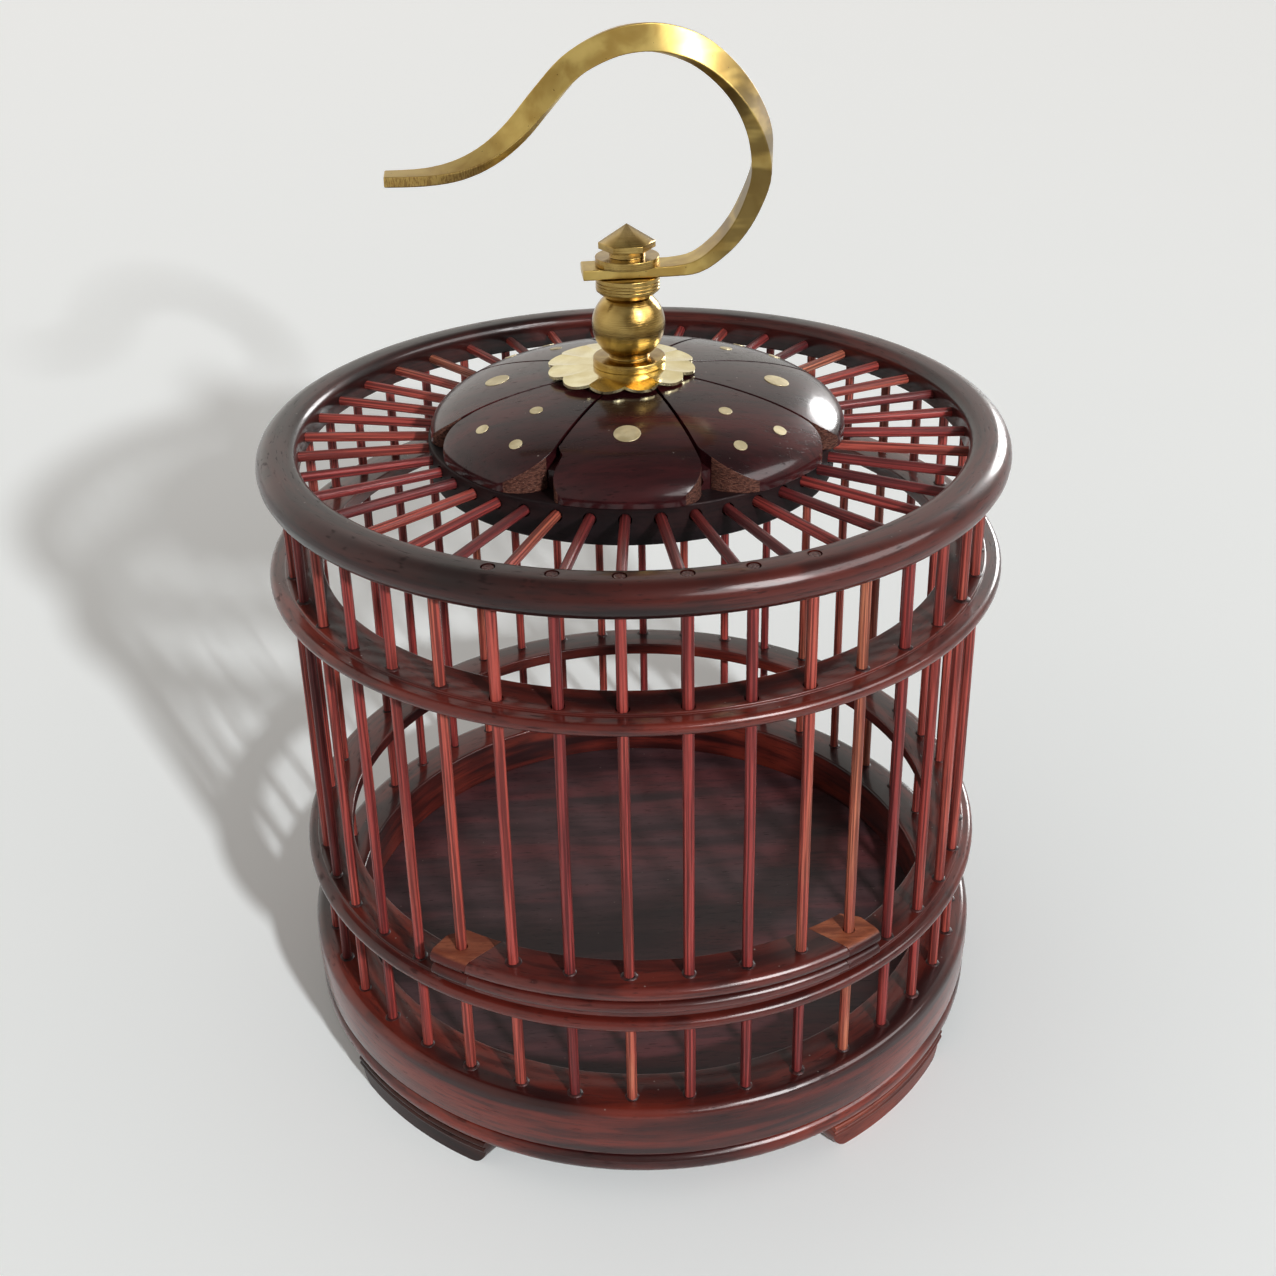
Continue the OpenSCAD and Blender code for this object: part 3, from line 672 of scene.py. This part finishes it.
sawn_wood = sawn_finish()
PETALS = 8
PETAL_COLUMNS = 44
PETAL_ROWS = 26
DOME_TURN = math.radians(-6.5)
KERF = 0.5 * MM
KERF_DEPTH = 2 * MM
SLOT_FROM = 24.5 * MM
PETAL_CORNER = 4 * MM
PETAL_EDGE = 0.08 * MM
PETAL_SHARP = 40
CORE_LAP = 0.3 * MM
DOME_EDGE = 0.6 * MM


def plan(node):
    """How far a frame node's middle lies to the right of the cage's axis, and its own radius."""
    low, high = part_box(node)
    return (low.x + high.x) / 2, (high.y - low.y) / 2


dome_right, dome_r = plan("petal_dome")
dome_low, dome_high = heights("petal_dome")
dome_bore = 2.8 * MM
seat_r = 5 * MM
dome_rise = (dome_high - dome_low - DOME_EDGE) / math.sqrt(1 - (seat_r / dome_r) ** 2)
core_r = math.sqrt((dome_r - PETAL_CORNER) ** 2 - (KERF / 2 + PETAL_CORNER) ** 2)


def dome_height(radius):
    """Height of the dome's polished face at a distance from its axis."""
    return min(dome_high, dome_low + DOME_EDGE + dome_rise * math.sqrt(max(0, 1 - (radius / dome_r) ** 2)))


def bent_grid(name, columns, rows, place):
    """A sheet of quads bent to shape: place(u, v) gives each point, with u and v from 0 to 1."""
    bpy.ops.object.select_all(action="DESELECT")
    bpy.ops.mesh.primitive_grid_add(x_subdivisions=columns, y_subdivisions=rows, size=1, location=(0, 0, 0))
    sheet = bpy.context.object
    sheet.name = name
    for vertex in sheet.data.vertices:
        vertex.co = place(vertex.co.x + 0.5, vertex.co.y + 0.5)
    return sheet


def petal_point(u, v, corners, slot):
    """A point on the polished face of the petal at the middle of the door, with its two lower corners' radii.
    The slot is what the saw took off its left side past the kerf's end."""
    corner = corners[int(u > 0.5)]
    half = math.pi / PETALS
    across = math.sin((u - 0.5) * math.pi)
    corner_y = KERF / 2 + corner
    centre = dome_r - corner
    corner_az = math.asin(corner_y / centre)
    wall_r = math.sqrt(centre ** 2 - corner_y ** 2)
    edge_az = half - abs(across) * (half - math.asin(KERF / 2 / wall_r))
    end = dome_r
    if edge_az < corner_az:
        off = corner_az - edge_az
        end = centre * math.cos(off) + math.sqrt(max(0, corner ** 2 - (centre * math.sin(off)) ** 2))
    radius = dome_bore + (end - dome_bore) * math.sin(v * math.pi / 2)
    wide = slot * min(1, max(0, (radius - SLOT_FROM) / MM)) * max(0, -across)
    az = across * (half - math.asin((KERF / 2 + wide) / radius))
    return Vector((radius * math.sin(az), -radius * math.cos(az), dome_height(radius)))


def petal(corners, slot):
    """One petal at the middle of the door, from the polished face down, with its lower corners' radii."""
    piece = bent_grid("petal", PETAL_COLUMNS, PETAL_ROWS, lambda u, v: petal_point(u, v, corners, slot))
    edit(piece)
    bpy.ops.mesh.extrude_region_move(TRANSFORM_OT_translate={"value": (0, 0, 0)})
    bpy.ops.object.mode_set(mode="OBJECT")
    for vertex in piece.data.vertices:
        if vertex.select:
            radius = vertex.co.xy.length
            vertex.co.z = dome_height(radius) - KERF_DEPTH if radius < core_r - CORE_LAP else dome_low
    close_up(piece, PETAL_SHARP)
    edit(piece)
    bpy.ops.mesh.select_mode(type="EDGE")
    bpy.ops.mesh.select_all(action="DESELECT")
    bpy.ops.mesh.edges_select_sharp(sharpness=math.radians(PETAL_SHARP))
    bpy.ops.mesh.bevel(offset=PETAL_EDGE, segments=2, affect="EDGES")
    bpy.ops.object.mode_set(mode="OBJECT")
    close_up(piece, PETAL_SHARP)
    for material in (dome_wood, sawn_wood):
        piece.data.materials.append(material)
    for polygon in piece.data.polygons:
        radius = math.hypot(polygon.center.x, polygon.center.y)
        polished = abs(polygon.center.z - dome_height(radius)) < 0.03 * MM
        in_notch = core_r + CORE_LAP < radius < dome_r - 0.2 * MM
        polygon.material_index = int(in_notch and not polished)
    return piece


# The petals' corner radii and the slots at their left, in millimetres, round from the door.
left_corners = [2.6, 6.6, 3.6, 4.2, 3.8, 3.5, 4.4, 3.9]
right_corners = [4.1, 3.9, 4.3, 3.4, 4.4, 4.1, 3.7, 5.6]
left_slots = [1.3, 0.3, 0, 0.2, 0.4, 0, 0.3, 0.2]
petals = []
for i, (left, right, slot) in enumerate(zip(left_corners, right_corners, left_slots)):
    one = petal((left * MM, right * MM), slot * MM)
    one.data.transform(Matrix.Rotation(DOME_TURN + i * 2 * math.pi / PETALS, 4, "Z"))
    petals.append(one)
CORE_RINGS = 12
core_rings = [core_r + (dome_bore - core_r) * k / CORE_RINGS for k in range(CORE_RINGS + 1)]
core = turned("dome_core", [(dome_bore, dome_low, 0), (core_r, dome_low, 0)] + [
    (radius, dome_height(radius) - KERF_DEPTH, 0) for radius in core_rings
])
core.data.materials.append(dome_wood)
dome = joined(petals + [core], "petal_dome_sawn")
dome.data.transform(Matrix.Translation((dome_right, 0, 0)))
dome_faces = [polygon.material_index for polygon in dome.data.polygons]
set_in(dome, "petal_dome", "dome_wood", dome_wood, sawn_wood)
for polygon, index in zip(dome.data.polygons, dome_faces):
    polygon.material_index = index

# Inlays: short brass pins let into the petals, one large or three small, and rubbed down flush with the wood.
# The rubbing left them pale and dull, with fine scratches every way.
EASED_SHARP = 40
EASED_STEPS = 3


def brass(name, deep, bright, rough=0.2, lines=(1, 1, 30), depth=0.004, metal=1.0):
    """Yellow brass: a metal with fine tool lines, a thin patina and small changes of gloss."""
    material, shader, place = new_finish(name, Metallic=metal)
    patina = place.noise(0.35, 3, 0.4)
    tool = place.stretch(*lines).noise(0.9, 2)
    patina.between(0.3, 0.7).blend(deep, bright).into(shader, "Base Color")
    (rough + 0.1 * tool + 0.08 * patina - 0.08).into(shader, "Roughness")
    tool.bump(shader, depth * MM)
    return material


def eased(node, name, width):
    """A copy of a frame node's solid with its sharp edges eased, as fine paper or a file leaves them."""
    piece = merged_copy(node, name)
    edit(piece)
    bpy.ops.mesh.mark_sharp(clear=True)
    bpy.ops.mesh.dissolve_limited(angle_limit=math.radians(0.5))
    bpy.ops.mesh.tris_convert_to_quads(face_threshold=math.radians(12), shape_threshold=math.radians(70))
    bpy.ops.object.mode_set(mode="OBJECT")
    apply_modifier(
        piece, "BEVEL", width=width, segments=EASED_STEPS, limit_method="ANGLE",
        angle_limit=math.radians(EASED_SHARP), use_clamp_overlap=False
    )
    close_up(piece, EASED_SHARP)
    apply_modifier(piece, "WEIGHTED_NORMAL", keep_sharp=True)
    return piece


inlay_brass = brass(
    "inlay_brass", (0.5, 0.41, 0.23), (0.72, 0.62, 0.4), rough=0.42, lines=(5, 5, 5), depth=0.01, metal=0.55
)
for inlay in ("large_inlays", "small_inlays"):
    set_in(eased(inlay, inlay + "_rubbed", 0.05 * MM), inlay, "inlay_brass", inlay_brass)

# Rosette: a thin plate of pale brass stamped with twelve fluted lobes, clamped between the dome and the
# finial. Its edge stands a little clear of the dome.
rosette_brass = brass("rosette_brass", (0.8, 0.69, 0.38), (0.95, 0.87, 0.56), rough=0.13, lines=(3, 3, 3))
LOBES = 12
LOBE_COLUMNS = 14
LOBE_FULL = 1.05
ROSETTE_ROWS = 16
PLATE = 0.4 * MM
FLUTE_IN = 5.6 * MM
FLUTE_DEPTH = 0.4 * MM
CREASE_ANGLE = 8
rosette_high = heights("rosette")[1]
rosette_right, rosette_r = plan("rosette")
rosette_bore = 1.7 * MM


def rosette_point(u, v):
    """A point on the plate's upper face: round lobes, each a shallow flute between two creases."""
    lobe = 2 * math.pi / LOBES
    az = u * 2 * math.pi
    off = az % lobe - lobe / 2
    lobe_r = rosette_r * math.sin(lobe / 2) * LOBE_FULL
    centre = rosette_r - lobe_r
    end = centre * math.cos(off) + math.sqrt(max(0, lobe_r ** 2 - (centre * math.sin(off)) ** 2))
    radius = rosette_bore + (end - rosette_bore) * v
    outward = max(0, (radius - FLUTE_IN) / (rosette_r - FLUTE_IN))
    depth = FLUTE_DEPTH * outward * (1 - (2 * off / lobe) ** 2)
    right = rosette_right * min(1, 3 * v)
    return Vector((radius * math.sin(az) + right, -radius * math.cos(az), rosette_high - depth))


rosette = bent_grid("rosette_stamped", LOBES * LOBE_COLUMNS, ROSETTE_ROWS, rosette_point)
close_up(rosette, CREASE_ANGLE)
if rosette.data.polygons[0].normal.z < 0:
    edit(rosette)
    bpy.ops.mesh.flip_normals()
    bpy.ops.object.mode_set(mode="OBJECT")
apply_modifier(rosette, "SOLIDIFY", thickness=PLATE, offset=-1)
close_up(rosette, CREASE_ANGLE)
set_in(rosette, "rosette", "rosette_brass", rosette_brass)

# Finial: turned from brass bar in two pieces, with fine rings from the tool. The stem has a foot flange, a
# ball and a drum on one screw. The cap, with its drum, neck and six-sided point, screws down over the hook,
# and a washer and a nut hold the stem from below.
finial_brass = brass(
    "finial_brass", (0.275, 0.17, 0.047), (0.465, 0.328, 0.112), rough=0.14, lines=(0.1, 0.1, 20), depth=0.02
)
screw_low, screw_high = heights("finial_stem")
screw_r = 1.5 * MM
fin_low = rosette_high
flange_r = 5.3 * MM
flange_h = 1.2 * MM
ball_r = reach("finial_stem")[1]
ball_z = fin_low + 0.75 * MM + ball_r
drum_low = ball_z + 0.83 * ball_r
drum_high = drum_low + 2.85 * MM
drum_r = 4.6 * MM
ball_arc = [math.radians(a) for a in range(-56, 57, 4)]
RING_HALF = 0.07 * MM
RING_DEEP = 0.06 * MM
FINIAL_STEPS = 96
drum_rings = []
for k in range(3):
    ring_z = drum_low + (1.25 + 0.45 * k) * MM
    drum_rings.append((drum_r, ring_z - RING_HALF, 0))
    drum_rings.append((drum_r - RING_DEEP, ring_z, 0))
    drum_rings.append((drum_r, ring_z + RING_HALF, 0))
stem = turned("finial_stem_turned", [
    (0, screw_low, 0),
    (screw_r, screw_low, 0.3 * MM),
    (screw_r, fin_low, 0),
    (flange_r, fin_low, 0.15 * MM),
    (flange_r, fin_low + flange_h, 0.25 * MM),
    (0.55 * ball_r, fin_low + flange_h, 0.15 * MM),
    *((ball_r * math.cos(a), ball_z + ball_r * math.sin(a), 0) for a in ball_arc),
    (drum_r - 0.95 * MM, drum_low, 0.1 * MM),
    (drum_r, drum_low + 0.8 * MM, 0.15 * MM),
    *drum_rings,
    (drum_r, drum_high, 0.15 * MM),
    (screw_r, drum_high, 0),
    (screw_r, screw_high, 0.3 * MM),
    (0, screw_high, 0),
], FINIAL_STEPS)
set_in(stem, "finial_stem", "brass", finial_brass)
for node, ending in (("finial_cap", "_screwed"), ("tie_washer", "_punched"), ("tie_nut", "_filed")):
    set_in(eased(node, node + ending, 0.1 * MM), node, "brass", finial_brass)

# Hook: one flat strip of brass, drilled to turn on the finial's screw, bent to a swan neck and twisted on
# the way, so that it lies flat at its foot and tip and stands on edge over the bow. The file left marks near
# its tip.


def hook_finish():
    """Brass rubbed along the strip, with a dull film, dark pits, file marks across the tip's side, and
    painted shade in bands over the bow's right side.
    """
    material, shader, place = new_finish("hook_brass", Metallic=1.0)
    film = place.noise(0.22, 3, 0.5)
    rub = place.stretch(0.6, 5, 0.6).noise(1.2, 3)
    pits = place.noise(2.6, 1).between(0.76, 0.8)
    side = place.node("NewGeometry", {}, {}, 1).part("Y").between(-0.5, -0.85)
    near_tip = side * place.part("X").between(-16, -21)
    filed = near_tip * place.stretch(3.2, 0.3, 0.8).noise(1.6, 2).between(0.45, 0.6)
    colour = film.between(0.32, 0.68).blend((0.43, 0.28, 0.077), (0.63, 0.465, 0.153))
    # Painted shade: the right side of the bow is darkened in patchy bands, for the darker light it catches
    # there.
    painted_shade_right = place.part("X").between(8, 15)
    band = place.stretch(0.1, 0.1, 0.35).noise(1.0, 2).between(0.38, 0.54)
    colour = (painted_shade_right * (0.4 + 0.45 * band)).blend(colour, (0.13, 0.085, 0.03))
    worn = place.part("X").between(-13, -22)
    colour = (0.3 * worn + 0.4 * filed).blend(colour, (0.16, 0.08, 0.03))
    (0.8 * pits).blend(colour, (0.05, 0.028, 0.01)).into(shader, "Base Color")
    (0.26 + 0.1 * rub + 0.1 * filed + 0.08 * film).into(shader, "Roughness")
    (0.25 * rub - 0.5 * filed - pits).bump(shader, 0.015 * MM)
    return material


set_in(eased("hook", "hook_bent", 0.2 * MM), "hook", "brass", hook_finish())

# Door rail: a moulded strip of rosewood with two reeds along its front and six bars glued into it. Its flat
# top is scraped and dusty where fingers lift it.
rail_wood = rosewood(
    "rail_rosewood", dark=(0.026, 0.006, 0.006), brown=(0.11, 0.017, 0.0125), red=(0.2, 0.029, 0.017),
    lacquer=0.8, dusty=0.9
)
set_in(eased("door_rail", "door_rail_moulded", 0.08 * MM), "door_rail", "ring_wood", rail_wood)

# Door end blocks: short pieces scarfed to the rail's ends and bored to run on the guide bars. Their front is
# stained like the rail, and their top is raw orange wood, planed on a slant across the grain.


def end_block_finish():
    """Stained wood with a raw top, whose grain runs askew. The left block's raw top is given a painted shade,
    darker than the right's.
    """
    material, shader, place = new_finish("end_block_wood", Specular_IOR_Level=0.18, Coat_Roughness=0.1)
    top = heights("door_rail")[1] / MM
    raw = place.part("Z").between(top - 0.45, top - 0.08)
    stained, _, pores = wood_colour(
        round_grain(place), dark=(0.026, 0.006, 0.006), brown=(0.095, 0.018, 0.014), red=(0.17, 0.027, 0.017)
    )
    askew = place.node("Mapping", {}, {"Vector": place, "Rotation": (0, 0, 0.6), "Scale": (0.25, 1.6, 1)})
    bare, lines, _ = wood_colour(
        askew, dark=(0.19, 0.046, 0.02), brown=(0.36, 0.1, 0.043), red=(0.46, 0.15, 0.07)
    )
    # Painted shade: the raw top of the left block is darkened, half way to a deep red-brown.
    painted_shade_left = 0.5 * place.part("X").between(5, -5)
    raw.blend(stained, painted_shade_left.blend(bare, (0.09, 0.016, 0.011))).into(shader, "Base Color")
    (0.28 + 0.3 * raw + 0.15 * pores).into(shader, "Roughness")
    (0.1 - 0.1 * raw).into(shader, "Coat Weight")
    (raw * lines - 0.5 * pores).bump(shader, 0.03 * MM)
    return material


end_wood = end_block_finish()
for block in ("door_end_left", "door_end_right"):
    set_in(eased(block, block + "_scarfed", 0.08 * MM), block, "pale_wood", end_wood)

# Table top and light: a plain pale surface that stays pale far from the cage, soft daylight that is brighter
# behind and beside the cage than in front, a lamp from the right that throws the shadow, and panels that show
# in gloss alone.
TABLE_SIDE = 16
PALE_FROM = 450
PALE_MOST = 0.52
BACKDROP = 0.74
DIFFUSE_SHARE = 0.66
LIGHT_CENTRE = Vector((0, 0, 70 * MM))
bpy.ops.object.select_all(action="DESELECT")
bpy.ops.mesh.primitive_plane_add(size=TABLE_SIDE)
table = bpy.context.object
table.name = "table_top"


def looked_at(tree):
    """Whether a ray comes from the camera, and whether it comes off something glossy."""
    rays = tree.nodes.new("ShaderNodeLightPath").outputs
    return Flow(rays["Is Camera Ray"]), Flow(rays["Is Glossy Ray"])


table_paint, paint, place = new_finish(
    "table_paint", Base_Color=(0.86, 0.86, 0.855, 1), Specular_IOR_Level=0, Emission_Strength=1
)
seen, mirrored = looked_at(table_paint.node_tree)
away = place.stretch(1, 1, 0).vector("LENGTH", out=1)
pale = PALE_MOST * away.math("DIVIDE", away, away + PALE_FROM) * (seen + mirrored)
pale.blend((0, 0, 0), (1, 1, 0.99)).into(paint, "Emission Color")
table.data.materials.append(table_paint)

world = bpy.data.worlds.new("daylight")
world.use_nodes = True
bpy.context.scene.world = world
background = world.node_tree.nodes["Background"]
background.inputs["Color"].default_value = (1, 0.965, 0.905, 1)
way = Flow(world.node_tree.nodes.new("ShaderNodeTexCoord").outputs["Generated"])
seen, mirrored = looked_at(world.node_tree)
front = way.part("Y").between(0.1, -0.75)
overhead = way.part("Z").between(0.55, 0.85)
left = way.part("X").between(0.1, -0.8)
back = way.part("Y").between(0.2, 0.8)
daylight = 0.56 - 0.28 * front - 0.36 * overhead * (1 - front) + 0.42 * left + 0.27 * back
unseen = (1 - seen) * daylight * (DIFFUSE_SHARE + (1 - DIFFUSE_SHARE) * mirrored)
(seen * BACKDROP + unseen).into(background, "Strength")


def panel(name, az, height, distance, size, power, shine=True):
    """An area light, placed by its angles from the door's middle. It shows in gloss, or it only lights."""
    az = math.radians(az)
    height = math.radians(height)
    light = bpy.data.lights.new(name, "AREA")
    light.shape = "ELLIPSE"
    light.size, light.size_y = size
    light.energy = power
    stand = bpy.data.objects.new(name, light)
    bpy.context.scene.collection.objects.link(stand)
    level = math.cos(height)
    heading = Vector((math.sin(az) * level, -math.cos(az) * level, math.sin(height)))
    stand.location = LIGHT_CENTRE + heading * distance
    stand.rotation_mode = "QUATERNION"
    stand.rotation_quaternion = heading.to_track_quat("Z", "Y")
    stand.visible_camera = False
    stand.visible_diffuse = not shine
    stand.visible_glossy = shine
    return light


lamp = panel("lamp", 24, 26, 0.6, (0.035, 0.035), 9.1, shine=False)
lamp.color = (0.93, 0.98, 1)
lamp.use_nodes = True
fall = lamp.node_tree.nodes.new("ShaderNodeLightFalloff")
fall.inputs["Strength"].default_value = 1
Flow(fall.outputs["Constant"]).into(lamp.node_tree.nodes["Emission"], "Strength")
panel("window_right", 142, 16, 1.4, (0.5, 0.5), 10)
panel("panel_right_front", 40, 38, 1.5, (0.5, 0.9), 16)
panel("panel_right", 55, 36, 1.5, (2.2, 0.8), 22)

# Camera: above the door and a little to its left, looking down on the cage. The picture is a crop from the
# lower right of a larger one, so its middle is shifted.
CAMERA_AT = (-9.86 * MM, -212.97 * MM, 182.89 * MM)
CAMERA_HEADING = math.radians(-0.968)
CAMERA_DIP = math.radians(24.851)
CAMERA_ROLL = math.radians(-1.865)
camera = bpy.data.objects.new("camera", bpy.data.cameras.new("camera"))
bpy.context.scene.collection.objects.link(camera)
camera.data.sensor_width = 36
camera.data.lens = 43.528
camera.data.shift_x = 0.0368
camera.data.shift_y = -0.103
camera.data.clip_start = 0.01
camera.matrix_world = (
    Matrix.Translation(CAMERA_AT)
    @ Matrix.Rotation(CAMERA_HEADING, 4, "Z")
    @ Matrix.Rotation(math.pi / 2 - CAMERA_DIP, 4, "X")
    @ Matrix.Rotation(CAMERA_ROLL, 4, "Z")
)
bpy.context.scene.camera = camera
bpy.context.scene.view_settings.view_transform = "Standard"
